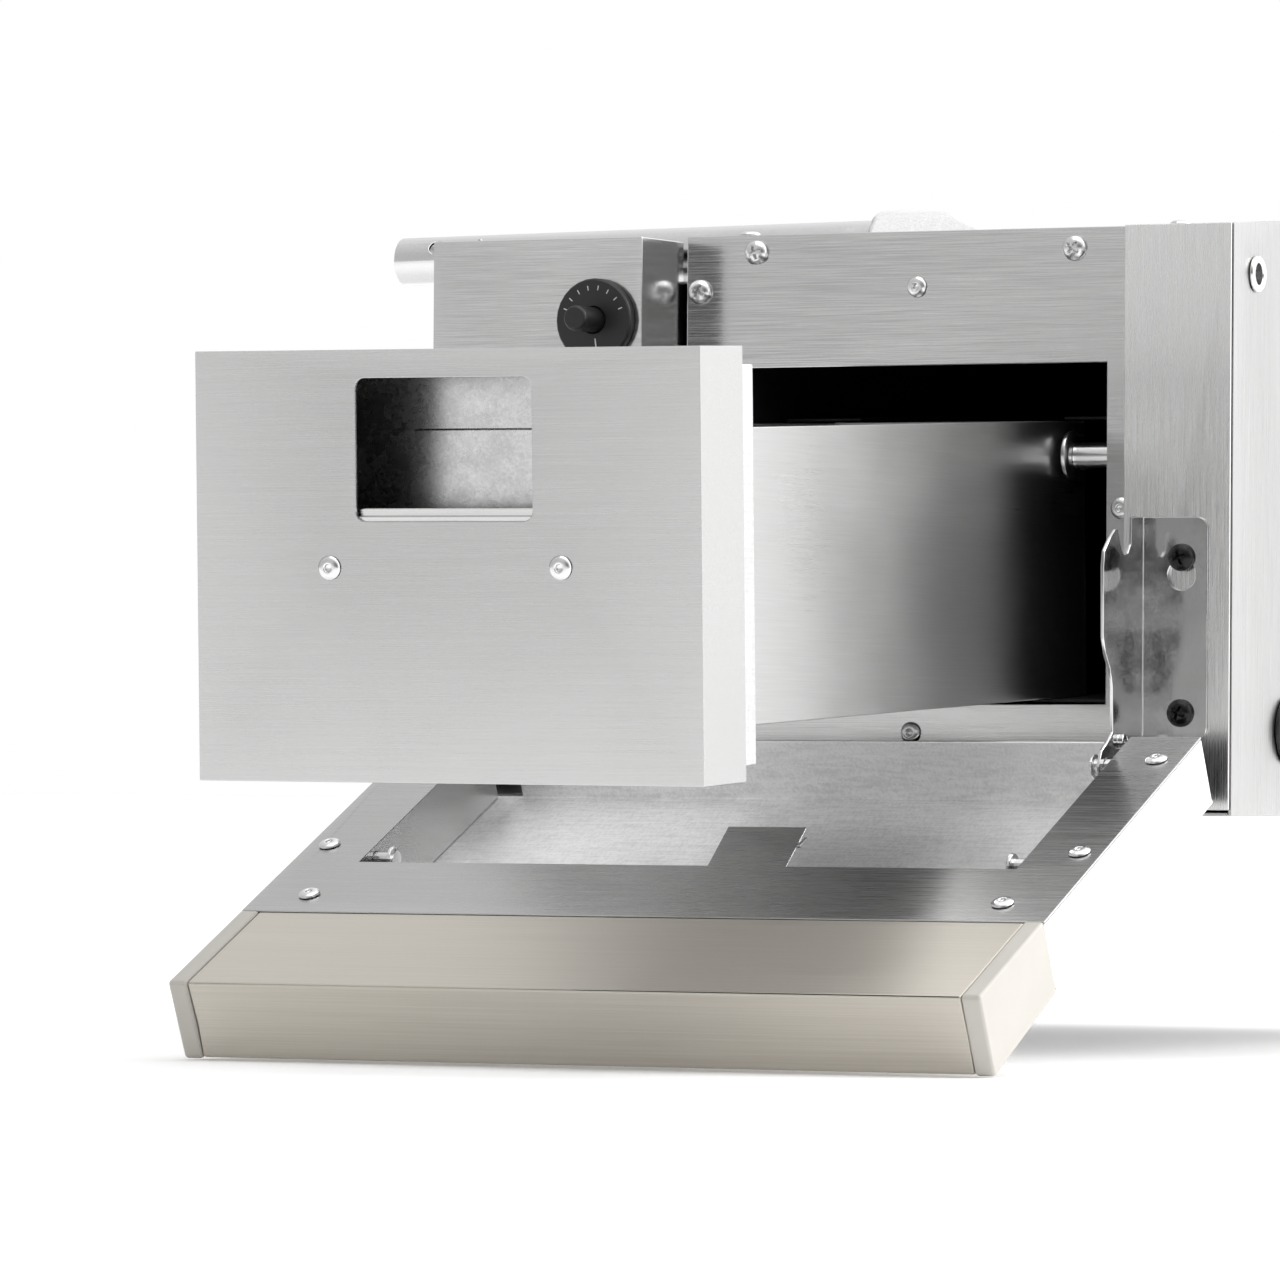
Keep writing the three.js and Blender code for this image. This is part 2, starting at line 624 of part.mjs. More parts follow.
const U0 = FRAME_LEN + 0.4;
const profileOuter = [
  [U0, 0.3], [PROFILE_END - 1.1, 0.1], [PROFILE_END - 0.2, 0.8], [PROFILE_END - 0.9, 17.4],
  [PROFILE_END, 30.0], [PROFILE_END - 1, PROFILE_THICK], [U0, DOOR_THICK + 0.4],
];
const profileInner = [
  [U0 + 2, 2.3], [PROFILE_END - 2.4, 2.1], [PROFILE_END - 2.8, 17.4],
  [PROFILE_END - 2.4, 29.0], [U0 + 2, DOOR_THICK - 1.7],
];
const handle = cut(
  profileX(profileOuter, DOOR_LEFT + CAP_W + 0.2, DOOR_RIGHT - CAP_W - 0.2),
  profileX(profileInner, DOOR_LEFT, DOOR_RIGHT),
);
door.add(named('handle_profile', handle, CHAMPAGNE));

function endCap() {
  const outline = [
    [U0 - 0.2, -0.3], [PROFILE_END - 0.6, -0.4], [PROFILE_END + 0.3, 0.6],
    [PROFILE_END + 0.4, 30.4], [PROFILE_END - 0.8, PROFILE_THICK + 0.4], [U0 - 0.2, DOOR_THICK + 0.9],
  ];
  const plugOutline = [
    [U0 + 2.4, 2.8], [PROFILE_END - 3.2, 2.6], [PROFILE_END - 3.2, 28.2], [U0 + 2.4, DOOR_THICK - 2.2],
  ];
  return join(
    profileX(outline, DOOR_RIGHT - CAP_W + 0.1, DOOR_RIGHT),
    profileX(plugOutline, DOOR_RIGHT - CAP_W - 6, DOOR_RIGHT - CAP_W + 0.6),
  );
}
door.add(named('end_cap_right', endCap(), CAP_WHITE));
door.add(named('end_cap_left', mirrored(endCap()), CAP_WHITE));

const tongue = join(
  profileX([
    [150, 1.3], [150, 2.3], [113.4, 2.3], [90.2, -3.6], [90.5, -4.6], [113.6, 1.3],
  ], 180.4, 212.4),
  block(212.3, 213.8, 94, 101, -2.2, -0.9),
);
door.add(named('door_tongue', tongue, BRUSHED));

// studs that the bracket hooks catch when the door is shut
function latchStud() {
  return turned([
    [0, -2.4],
    [3.4, -2.4],
    [3.4, -1.3],
    [2.5, -1.3],
    [2.5, 6.6],
    [4.5, 6.6],
    [4.5, 8.0],
    [3.2, 9.0],
    [0, 9.2],
  ], 16).rotateY(-Math.PI / 2).translate(armIn[1], STUD_U, STUD_V);
}
door.add(named('latch_stud_right', latchStud(), POLISHED));
door.add(named('latch_stud_left', mirrored(latchStud()), POLISHED));

// ---- drawer, in its own frame: X across, Y from the face inwards, Z up ------------------------
const CUT_X0 = 63.2;
const CUT_X1 = 131.4;
const CUT_Z0 = 90.1;
const CUT_Z1 = 139.4;
const FACE_RIVETS = [[52.6, 74.0], [142.2, 74.1]];
const drawerFront = cut(
  join(
    block(0, FACE_W, 0, 1, 0, FACE_H),
    block(0, FACE_W, 0.5, BOX_DEPTH, 0, 1),
    block(0, FACE_W, 0.5, BOX_DEPTH, FACE_H - 1, FACE_H),
    block(0, 1, 0.5, BOX_DEPTH, 0, FACE_H),
    block(FACE_W - 1, FACE_W, 0.5, BOX_DEPTH, 0, FACE_H),
  ),
  roundedY(CUT_X0, CUT_X1, -2, 3, CUT_Z0, CUT_Z1, 3.5, 4),
  ...FACE_RIVETS.map(([x, z]) => holeFront(x, z, 0, 2.0)),
);
drawer.add(named('drawer_front', drawerFront, BRUSHED));

// closing sheet at the back of the face box, doubled below the grip's seam
const drawerBack = join(
  block(1.3, FACE_W - 1.3, BOX_DEPTH - 0.6, BOX_DEPTH + 0.4, 1.4, FACE_H - 1.4),
  block(1.8, FACE_W - 1.8, BOX_DEPTH - 1.5, BOX_DEPTH - 0.4, 1.9, 121.4),
  block(1.3, 2.3, BOX_DEPTH - 12, BOX_DEPTH + 0.3, 1.4, FACE_H - 1.4),
  block(FACE_W - 2.3, FACE_W - 1.3, BOX_DEPTH - 12, BOX_DEPTH + 0.3, 1.4, FACE_H - 1.4),
  block(FACE_W - 1.6, FACE_W - 0.6, BOX_DEPTH + 0.4, LIP_DEPTH, 5.8, 143),
  block(0.6, 1.6, BOX_DEPTH + 0.4, LIP_DEPTH, 5.8, 143),
  block(FACE_W - 3, FACE_W - 0.6, BOX_DEPTH - 0.1, BOX_DEPTH + 1.2, 5.8, 143),
  block(0.6, 3, BOX_DEPTH - 0.1, BOX_DEPTH + 1.2, 5.8, 143),
);
const backClear = cut(
  drawerBack,
  block(FACE_W - 1.3, FACE_W + 2, 20, BOX_DEPTH + GAP, -5, 160),
  block(-2, 1.3, 20, BOX_DEPTH + GAP, -5, 160),
);
drawer.add(named('drawer_back', backClear, BRUSHED));

// folded lip along the lower edge of the grip cutout
const gripLip = join(
  profileX([[1.3, 88.6], [14, 88.6], [14, 89.8], [2.5, 89.8], [2.5, 95], [1.3, 95]], CUT_X0 - 3, CUT_X1 + 3),
  profileX([[10, 89.5], [11, 89.5], [11, 92.4], [10, 92.4]], CUT_X0 - 3, CUT_X1 + 3),
);
const gripLipLow = gripLip.translate(0, 0, -0.5);
drawer.add(named('grip_lip', cut(
  gripLipLow,
  block(CUT_X0 - 4, CUT_X1 + 4, 1, 2.4, 91.8, 99),
), BRUSHED));

const drawerBin = cut(
  join(
    block(BIN_LEFT, BIN_RIGHT, BOX_DEPTH + 0.8, BIN_BACK, BIN_FLOOR, BIN_TOP),
  ),
  block(BIN_LEFT + 1, BIN_RIGHT - 1, BOX_DEPTH + 1.8, BIN_BACK - 1, BIN_FLOOR + 1, BIN_TOP + 5),
);
drawer.add(named('drawer_bin', drawerBin, BRUSHED));
const faceRivet = ([x, z]) => faceFront(rivet(4.3, 1), x, 0, z);
addCopies(drawer, 'drawer_rivet', FACE_RIVETS.map(faceRivet), POLISHED);

// ---- whole object -------------------------------------------------------------------------
const group = new THREE.Group();
group.name = 'drawer_module';
group.add(cabinet, door, drawer, rails);
group.position.set(-WIDTH / 2, -DEPTH / 2, 0);
group.updateMatrixWorld(true);

export default group;
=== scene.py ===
"""Looks of the built-in drawer module: materials, fasteners, floor, light and camera.

Metres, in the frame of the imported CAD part: +Z up, the front faces -Y.
"""
import math

import bpy
import numpy as np
from mathutils import Matrix, Vector


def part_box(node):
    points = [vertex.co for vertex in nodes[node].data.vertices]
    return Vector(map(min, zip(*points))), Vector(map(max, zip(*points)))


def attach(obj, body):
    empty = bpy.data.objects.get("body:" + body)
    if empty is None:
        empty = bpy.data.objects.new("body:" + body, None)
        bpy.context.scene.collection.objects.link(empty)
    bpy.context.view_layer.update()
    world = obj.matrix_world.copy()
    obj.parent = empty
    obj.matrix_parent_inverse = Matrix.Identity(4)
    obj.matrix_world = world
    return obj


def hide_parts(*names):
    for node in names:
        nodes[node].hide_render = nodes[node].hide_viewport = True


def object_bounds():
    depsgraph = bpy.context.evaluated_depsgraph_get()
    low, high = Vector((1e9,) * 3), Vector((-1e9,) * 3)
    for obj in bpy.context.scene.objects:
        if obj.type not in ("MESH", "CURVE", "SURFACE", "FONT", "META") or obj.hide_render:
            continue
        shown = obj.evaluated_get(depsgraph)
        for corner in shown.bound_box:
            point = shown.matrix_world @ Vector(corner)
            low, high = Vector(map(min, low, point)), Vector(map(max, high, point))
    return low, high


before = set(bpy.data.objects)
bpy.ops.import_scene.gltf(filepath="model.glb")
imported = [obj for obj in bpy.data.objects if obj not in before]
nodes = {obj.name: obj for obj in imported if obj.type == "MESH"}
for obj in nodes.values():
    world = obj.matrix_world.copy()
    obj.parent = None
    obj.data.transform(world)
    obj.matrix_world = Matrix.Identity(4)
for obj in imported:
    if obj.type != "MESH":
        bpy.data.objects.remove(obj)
cad_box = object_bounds()
MM = 0.001


# ---- shader helpers ---------------------------------------------------------------------------
class Shader:
    """A material's node tree with short calls for the nodes used here."""

    def __init__(self, name):
        self.material = bpy.data.materials.new(name)
        self.material.use_nodes = True
        self.tree = self.material.node_tree
        self.bsdf = self.tree.nodes["Principled BSDF"]
        self.coord = self.tree.nodes.new("ShaderNodeTexCoord")

    def link(self, out, to):
        self.tree.links.new(out, to)

    def feed(self, socket, value):
        if hasattr(value, "is_output"):
            self.link(value, socket)
        else:
            socket.default_value = value

    def noise(self, scale, detail=3.0, rough=0.55, distort=0.0):
        """Noise in object space; scale is one number per metre, or three for a stretched grain."""
        mapping = self.tree.nodes.new("ShaderNodeMapping")
        self.link(self.coord.outputs["Object"], mapping.inputs["Vector"])
        three = scale if hasattr(scale, "__len__") else (scale, scale, scale)
        mapping.inputs["Scale"].default_value = three
        node = self.tree.nodes.new("ShaderNodeTexNoise")
        node.inputs["Scale"].default_value = 1.0
        node.inputs["Detail"].default_value = detail
        node.inputs["Roughness"].default_value = rough
        node.inputs["Distortion"].default_value = distort
        self.link(mapping.outputs["Vector"], node.inputs["Vector"])
        return node.outputs["Fac"]

    def remap(self, value, low, high, to_low, to_high):
        """value stretched from low..high to to_low..to_high, and held inside them."""
        node = self.tree.nodes.new("ShaderNodeMapRange")
        self.feed(node.inputs["Value"], value)
        for key, number in zip(("From Min", "From Max", "To Min", "To Max"),
                               (low, high, to_low, to_high)):
            node.inputs[key].default_value = number
        return node.outputs["Result"]

    def math(self, how, a, b=0.0):
        node = self.tree.nodes.new("ShaderNodeMath")
        node.operation = how
        self.feed(node.inputs[0], a)
        self.feed(node.inputs[1], b)
        return node.outputs["Value"]

    def mix(self, factor, a, b):
        node = self.tree.nodes.new("ShaderNodeMix")
        node.data_type = "RGBA"
        self.feed(node.inputs["Factor"], factor)
        self.feed(node.inputs["A"], a)
        self.feed(node.inputs["B"], b)
        return node.outputs["Result"]

    def edges(self):
        """About 1 on worn outer edges and 0 elsewhere."""
        geometry = self.tree.nodes.new("ShaderNodeNewGeometry")
        return self.remap(geometry.outputs["Pointiness"], 0.52, 0.60, 0.0, 1.0)

    def bump(self, height, strength, distance, after=None):
        """Relief of distance metres; after is the relief it is added to."""
        node = self.tree.nodes.new("ShaderNodeBump")
        node.inputs["Strength"].default_value = strength
        node.inputs["Distance"].default_value = distance
        self.link(height, node.inputs["Height"])
        if after is not None:
            self.link(after, node.inputs["Normal"])
        return node.outputs["Normal"]

    def surface(self, color, rough, normal=None, metal=0.0):
        self.feed(self.bsdf.inputs["Base Color"], color)
        self.feed(self.bsdf.inputs["Roughness"], rough)
        self.bsdf.inputs["Metallic"].default_value = metal
        if normal is not None:
            self.link(normal, self.bsdf.inputs["Normal"])
        return self.material


def rgba(r, g, b):
    return (r, g, b, 1.0)


def grey(v, warm=0.0):
    """A grey of value v, pushed towards red by the share warm."""
    return rgba(v * (1 + warm), v, v * (1 - warm))


# ---- materials --------------------------------------------------------------------------------
# tone is the grey of the metal and rough its mean roughness; noise scales are per metre
STEEL_WARMTH = 0.004


def grain_steel(name, tone, rough, along, depth, vary=1.0):
    """Satin sheet steel with a straight grain along one axis: 'x', 'y' or 'z'. depth is how
    strong the relief of the grain is, and vary how unevenly it is polished."""
    s = Shader(name)

    def shade(share):
        return grey(min(1.0, tone * share), STEEL_WARMTH)

    fine = [2600.0 if axis != along else 30.0 for axis in "xyz"]
    wide = [520.0 if axis != along else 7.0 for axis in "xyz"]
    lines = s.noise(fine, 3.0, 0.62)
    bands = s.noise(wide, 3.0, 0.5)
    cloud = s.noise(11.0, 3.0, 0.5, 0.3)
    tint = s.mix(s.remap(lines, 0.3, 0.7, 0.0, 1.0), shade(0.88), shade(1.08))
    tint = s.mix(s.remap(bands, 0.35, 0.65, 0.0, 0.4), tint, shade(0.93))
    tint = s.mix(s.remap(cloud, 0.35, 0.7, 0.0, 0.25), tint, shade(0.9))
    tint = s.mix(s.math("MULTIPLY", s.edges(), 0.5), tint, shade(1.25))
    spread = s.math("ADD", s.remap(lines, 0.3, 0.7, rough - 0.07 * vary, rough + 0.09 * vary),
                    s.remap(cloud, 0.3, 0.7, -0.03, 0.04))
    normal = s.bump(bands, depth * 0.5, 0.0002, s.bump(lines, depth, 0.00008))
    return s.surface(tint, spread, normal, 1.0)


def mill_steel(name, tone, rough, relief=1.0, mottled=1.0):
    """Bright sheet with the fine crossed and mottled surface of the rolling mill. relief and
    mottled weaken its bumps and its blotches."""
    s = Shader(name)
    cross_a = s.noise((900.0, 60.0, 900.0), 3.0, 0.6, 0.4)
    cross_b = s.noise((60.0, 900.0, 60.0), 3.0, 0.6, 0.4)
    mottle = s.noise(260.0, 4.0, 0.7, 0.6)
    cloud = s.noise(14.0, 2.0)
    weave = s.math("MULTIPLY", s.math("ADD", cross_a, cross_b), 0.5)
    tint = s.mix(s.remap(weave, 0.38, 0.62, 0.0, 1.0), grey(tone * 0.84), grey(tone * 1.1))
    tint = s.mix(s.remap(mottle, 0.4, 0.65, 0.0, 0.35 * mottled), tint, grey(tone * 0.82))
    tint = s.mix(s.math("MULTIPLY", s.edges(), 0.5), tint, grey(min(1.0, tone * 1.2)))
    spread = s.math("ADD", s.remap(mottle, 0.3, 0.7, rough - 0.06 * mottled, rough + 0.1 * mottled),
                    s.remap(cloud, 0.3, 0.7, -0.03, 0.04))
    normal = s.bump(weave, 0.22 * relief, 0.00012, s.bump(mottle, 0.12 * relief, 0.0002))
    return s.surface(tint, spread, normal, 1.0)


def smooth_steel(name, tone, rough):
    """Plated or polished steel: hairline scratches and faint haze."""
    s = Shader(name)
    hair = s.noise((2400.0, 240.0, 900.0), 4.0, 0.7, 0.2)
    haze = s.noise(70.0, 4.0, 0.6)
    tint = s.mix(s.remap(hair, 0.35, 0.7, 0.0, 1.0), grey(tone * 0.93), grey(tone * 1.04))
    tint = s.mix(s.math("MULTIPLY", s.edges(), 0.6), tint, grey(min(1.0, tone * 1.18)))
    spread = s.math("ADD", s.remap(haze, 0.3, 0.7, rough - 0.05, rough + 0.08),
                    s.remap(hair, 0.4, 0.7, 0.0, 0.03))
    return s.surface(tint, spread, s.bump(hair, 0.05, 0.00008), 1.0)


def cast_metal(name, tone, rough, pits=0.5):
    """Sand-blasted casting: pitted, with a dull uneven tone."""
    s = Shader(name)
    grains = s.noise(1500.0, 4.0, 0.7)
    lumps = s.noise(240.0, 3.0, 0.6)
    tint = s.mix(s.remap(grains, 0.35, 0.65, 0.0, 1.0), grey(tone * 0.86), grey(tone * 1.06))
    tint = s.mix(s.math("MULTIPLY", s.edges(), 0.5), tint, grey(min(1.0, tone * 1.15)))
    spread = s.remap(lumps, 0.3, 0.7, rough - 0.08, rough + 0.1)
    normal = s.bump(lumps, pits * 0.4, 0.0006, s.bump(grains, pits, 0.00016))
    return s.surface(tint, spread, normal, 0.85)


def anodised(name, color, rough):
    """Anodised extrusion with die lines along X."""
    s = Shader(name)
    lines = s.noise((12.0, 1900.0, 1900.0), 3.0, 0.6)
    sparkle = s.noise(3200.0, 2.0, 0.6)
    cloud = s.noise(9.0, 2.0)
    r, g, b = color
    dark, light = rgba(r * 0.9, g * 0.9, b * 0.89), rgba(r * 1.06, g * 1.06, b * 1.06)
    tint = s.mix(s.remap(lines, 0.3, 0.7, 0.0, 1.0), dark, light)
    tint = s.mix(s.remap(cloud, 0.3, 0.7, 0.0, 0.25), tint, dark)
    tint = s.mix(s.math("MULTIPLY", s.edges(), 0.45), tint, rgba(r * 1.2, g * 1.2, b * 1.2))
    spread = s.math("ADD", s.remap(lines, 0.3, 0.7, rough - 0.05, rough + 0.07),
                    s.remap(sparkle, 0.3, 0.7, -0.03, 0.03))
    normal = s.bump(lines, 0.12, 0.00008, s.bump(sparkle, 0.08, 0.00005))
    return s.surface(tint, spread, normal, 0.72)


def moulded(name, color, rough, grain=0.18, lighter=1.3):
    """Moulded plastic with a fine spark-eroded texture and paler rubbed edges."""
    s = Shader(name)
    texture = s.noise(2100.0, 3.0, 0.6)
    cloud = s.noise(45.0, 3.0, 0.5)
    r, g, b = color
    dull, rubbed = rgba(r * 0.94, g * 0.94, b * 0.93), rgba(*(min(1.0, c * lighter) for c in color))
    tint = s.mix(s.remap(cloud, 0.3, 0.7, 0.0, 1.0), dull, rgba(r, g, b))
    tint = s.mix(s.math("MULTIPLY", s.edges(), 0.35), tint, rubbed)
    spread = s.math("ADD", s.remap(texture, 0.3, 0.7, rough - 0.05, rough + 0.08),
                    s.remap(cloud, 0.3, 0.7, -0.03, 0.03))
    return s.surface(tint, spread, s.bump(texture, grain, 0.00012))


def blackened(name, tone, rough, metal):
    """Blackened or painted steel, rubbed paler on its edges."""
    s = Shader(name)
    fleck = s.noise(1400.0, 4.0, 0.7)
    cloud = s.noise(60.0, 3.0)
    tint = s.mix(s.remap(fleck, 0.4, 0.65, 0.0, 1.0), grey(tone), grey(tone * 2.0))
    tint = s.mix(s.math("MULTIPLY", s.edges(), 0.4), tint, grey(min(1.0, tone * 6)))
    spread = s.math("ADD", s.remap(fleck, 0.3, 0.7, rough - 0.06, rough + 0.1),
                    s.remap(cloud, 0.3, 0.7, -0.05, 0.05))
    return s.surface(tint, spread, s.bump(fleck, 0.25, 0.00012), metal)


def circuit(name):
    """Green solder resist over copper tracks."""
    s = Shader(name)
    tracks = s.noise((4.0, 420.0, 420.0), 2.0, 0.4, 1.2)
    cloud = s.noise(120.0, 2.0)
    bare, track, stain = rgba(0.02, 0.09, 0.04), rgba(0.04, 0.17, 0.07), rgba(0.03, 0.1, 0.06)
    tint = s.mix(s.remap(tracks, 0.49, 0.52, 0.0, 1.0), bare, track)
    tint = s.mix(s.remap(cloud, 0.4, 0.7, 0.0, 0.3), tint, stain)
    return s.surface(tint, s.remap(cloud, 0.3, 0.7, 0.3, 0.5), s.bump(tracks, 0.3, 0.0001))


PANEL_STEEL = grain_steel("satin_steel_across", 0.68, 0.17, "x", 0.12)
FACE_STEEL = grain_steel("satin_steel_face", 0.53, 0.22, "x", 0.10)
PILLAR_STEEL = grain_steel("satin_steel_upright", 0.76, 0.26, "z", 0.08)
# the right side panel faces the key light and gets this darker copy of the satin steel: its lower
# tone is painted shade, so that lit side doesn't go white
SIDE_STEEL_PAINTED_SHADE = grain_steel("satin_steel_side_painted_shade", 0.50, 0.3, "z", 0.06)
SHELL_STEEL = grain_steel("satin_steel_shell", 0.42, 0.32, "z", 0.08)
DEPTH_STEEL = grain_steel("satin_steel_lengthways", 0.56, 0.3, "y", 0.004, 0.2)
FRAME_STEEL = grain_steel("door_frame_steel", 0.46, 0.24, "x", 0.2)
SKIN_STEEL = mill_steel("door_skin_steel", 0.97, 0.48)
BACK_STEEL = mill_steel("box_back_steel", 0.66, 0.26, 0.12, 0.45)
BRIGHT_STEEL = smooth_steel("bright_plated_steel", 0.78, 0.2)
BRACKET_STEEL = smooth_steel("bracket_steel", 0.68, 0.09)
TUBE_STEEL = smooth_steel("tube_steel", 0.72, 0.14)
CASTING = cast_metal("blasted_aluminium", 0.84, 0.5)
MOTOR_CASTING = cast_metal("motor_casting", 0.5, 0.6, 0.7)
CHAMPAGNE = anodised("champagne_anodised", (0.585, 0.55, 0.495), 0.38)
CAP_PLASTIC = moulded("cap_plastic", (0.53, 0.508, 0.472), 0.45, 0.12, 1.12)
BLACK_PLASTIC = moulded("black_plastic", (0.007, 0.007, 0.008), 0.42, 0.12, 3.0)
PRINT = moulded("printed_marks", (0.62, 0.62, 0.60), 0.6, 0.05, 1.1)
BLACK_SCREW = blackened("black_screw", 0.016, 0.2, 0.85)
LINER_PAINT = blackened("liner_paint", 0.006, 0.6, 0.2)
BOARD_RESIST = circuit("board_resist")

# finish of each CAD node, by the longest start of its name that is listed
FINISH = {
    "control_box": PANEL_STEEL, "front_panel": PANEL_STEEL, "drawer_front": FACE_STEEL,
    "drawer_back": BACK_STEEL, "grip_lip": PANEL_STEEL, "pillar_right": PILLAR_STEEL,
    "side_panel_right": SIDE_STEEL_PAINTED_SHADE, "side_panel_left": SHELL_STEEL,
    "back_panel": SHELL_STEEL, "bottom_pan": SHELL_STEEL, "top_deck": SHELL_STEEL,
    "drawer_bin": DEPTH_STEEL, "door_frame": FRAME_STEEL, "door_tray": SKIN_STEEL,
    "door_tongue": FRAME_STEEL, "hinge_bracket": BRACKET_STEEL, "hinge_pin": BRIGHT_STEEL,
    "latch_stud": BRIGHT_STEEL, "guide_pin": BRIGHT_STEEL, "side_collar": BRIGHT_STEEL,
    "cross_tube": TUBE_STEEL, "tube_socket": CASTING, "tube_saddle": CASTING,
    "handle_profile": CHAMPAGNE, "end_cap": CAP_PLASTIC, "switch": BLACK_PLASTIC,
    "side_plug": BLACK_PLASTIC, "power_inlet": BLACK_PLASTIC, "drawer_liner": LINER_PAINT,
    "drawer_rail": LINER_PAINT, "control_board": BOARD_RESIST, "pump_motor": MOTOR_CASTING,
    "panel_screw": BRIGHT_STEEL, "bracket_screw": BLACK_SCREW, "panel_rivet": BRIGHT_STEEL,
    "top_rivet": BRIGHT_STEEL, "door_rivet": BRIGHT_STEEL, "drawer_rivet": BRIGHT_STEEL,
}
# edge radius in mm where it isn't SHEET_EDGE, the rounding of thin sheet
SHEET_EDGE = 0.35
EDGE = {
    "handle_profile": 0.7, "end_cap": 1.2, "tube_socket": 2.2, "tube_saddle": 1.2,
    "pump_motor": 1.5, "power_inlet": 0.6, "control_board": 0.2, "cross_tube": 0.25,
    "hinge_bracket": 0.3, "side_plug": 0.5, "switch_stem": 0.4, "door_tongue": 0.25,
}


def lookup(table, name, default=None):
    """The value whose key is the longest start of name."""
    found = [key for key in table if name.startswith(key)]
    return table[max(found, key=len)] if found else default


# ---- rounded edges and shading ----------------------------------------------------------------
SHARP_ANGLE = 20.5        # degrees; the 5-segment rounding turns less than this per step
ROUNDED_ANGLE = 33        # degrees; shallower edges belong to curved faces and aren't rounded
FLAT_ANGLE = 0.4          # degrees between triangles of one flat face
SAME_POINT = 1e-6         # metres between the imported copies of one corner
ROUNDED_SEAM = 3e-5       # metres between the ends of two roundings that meet
FINE_EDGE = 0.5           # mm; a rounding below this needs few segments


def mesh_group(name, *steps):
    """A modifier group that sends the mesh through nodes of these types in turn."""
    tree = bpy.data.node_groups.new(name, "GeometryNodeTree")
    for way in ("INPUT", "OUTPUT"):
        tree.interface.new_socket("Geometry", in_out=way, socket_type="NodeSocketGeometry")
    chain = [tree.nodes.new(kind) for kind in ("NodeGroupInput", *steps, "NodeGroupOutput")]
    for before, after in zip(chain, chain[1:]):
        tree.links.new(before.outputs["Geometry"], after.inputs["Geometry"])
    return tree, chain[1:-1]


def crisp_group():
    """Modifier nodes that shade smooth across shallow angles and keep real corners sharp."""
    tree, (smooth,) = mesh_group("crisp_corners", "GeometryNodeSetShadeSmooth")
    angle = tree.nodes.new("GeometryNodeInputMeshEdgeAngle")
    steep = tree.nodes.new("FunctionNodeCompare")
    steep.operation = "GREATER_THAN"
    steep.inputs["B"].default_value = math.radians(SHARP_ANGLE)
    smooth.domain = "EDGE"
    smooth.inputs["Shade Smooth"].default_value = False
    tree.links.new(angle.outputs["Unsigned Angle"], steep.inputs["A"])
    tree.links.new(steep.outputs["Result"], smooth.inputs["Selection"])
    return tree


def plain_group():
    """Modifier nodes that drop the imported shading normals, so that later modifiers set them."""
    tree, (drop, smooth) = mesh_group(
        "plain_shading", "GeometryNodeRemoveAttribute", "GeometryNodeSetShadeSmooth")
    drop.inputs["Name"].default_value = "custom_normal"
    smooth.domain = "FACE"
    return tree


CRISP = crisp_group()
PLAIN = plain_group()


def dress(node, o):
    """Gives a CAD node its finish and rounded edges; its own mesh stays as packed."""
    o.data.materials.clear()
    o.data.materials.append(lookup(FINISH, node))
    o.modifiers.new("plain", "NODES").node_group = PLAIN
    o.modifiers.new("weld", "WELD").merge_threshold = SAME_POINT
    flatten = o.modifiers.new("flatten", "DECIMATE")
    flatten.decimate_type = "DISSOLVE"
    flatten.angle_limit = math.radians(FLAT_ANGLE)
    bevel = o.modifiers.new("edges", "BEVEL")
    bevel.width = lookup(EDGE, node, SHEET_EDGE) * MM
    bevel.segments = 2 if bevel.width < FINE_EDGE * MM else 5
    bevel.limit_method = "ANGLE"
    bevel.angle_limit = math.radians(ROUNDED_ANGLE)
    bevel.use_clamp_overlap = False
    o.modifiers.new("seams", "WELD").merge_threshold = ROUNDED_SEAM
    o.modifiers.new("corners", "NODES").node_group = CRISP
    even = o.modifiers.new("flat_faces", "WEIGHTED_NORMAL")
    even.keep_sharp = True
    even.mode = "FACE_AREA"
    even.weight = 100


for node, o in nodes.items():
    dress(node, o)


# ---- new pieces: where they go ----------------------------------------------------------------
FRONT = Vector((0, -1, 0))
UP = Vector((0, 0, 1))


def points_of(node):
    """The distinct vertices of a CAD node."""
    packed = np.array([v.co for v in nodes[node].data.vertices], float)
    return np.unique(np.round(packed, 6), axis=0)


def own_axis(node, towards):
    """The turning axis of a turned CAD node, as a unit vector pointing roughly towards."""
    p = points_of(node)
    values, vectors = np.linalg.eigh(np.cov((p - p.mean(0)).T))
    gaps = [abs(values[1] - values[2]), abs(values[0] - values[1])]
    axis = Vector(vectors[:, 0] if gaps[0] < gaps[1] else vectors[:, 2])
    return axis if axis.dot(towards) > 0 else -axis


def crown(node, axis):
    """The point on a turned node's axis level with its outermost face."""
    p = points_of(node)
    a = np.array(axis)
    middle = p.mean(0)
    return Vector(middle + a * ((p - middle) @ a).max())


def add(name, data):
    """A new object in the scene."""
    o = bpy.data.objects.new(name, data)
    bpy.context.scene.collection.objects.link(o)
    return o


def mesh_piece(name, verts, faces, material, body, sharp=40):
    """A new piece that rides on a body, shaded smooth up to sharp degrees."""
    mesh = bpy.data.meshes.new(name)
    mesh.from_pydata([tuple(v) for v in verts], [], faces)
    mesh.validate()
    mesh.polygons.foreach_set("use_smooth", [True] * len(mesh.polygons))
    mesh.set_sharp_from_angle(angle=math.radians(sharp))
    mesh.materials.append(material)
    o = add(name, mesh)
    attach(o, body)
    return o


def facing(origin, axis, turn=0.0):
    """A frame at origin whose Z is axis, turned about it."""
    rotation = axis.to_track_quat("Z", "Y").to_matrix().to_4x4()
    return Matrix.Translation(origin) @ rotation @ Matrix.Rotation(turn, 4, "Z")


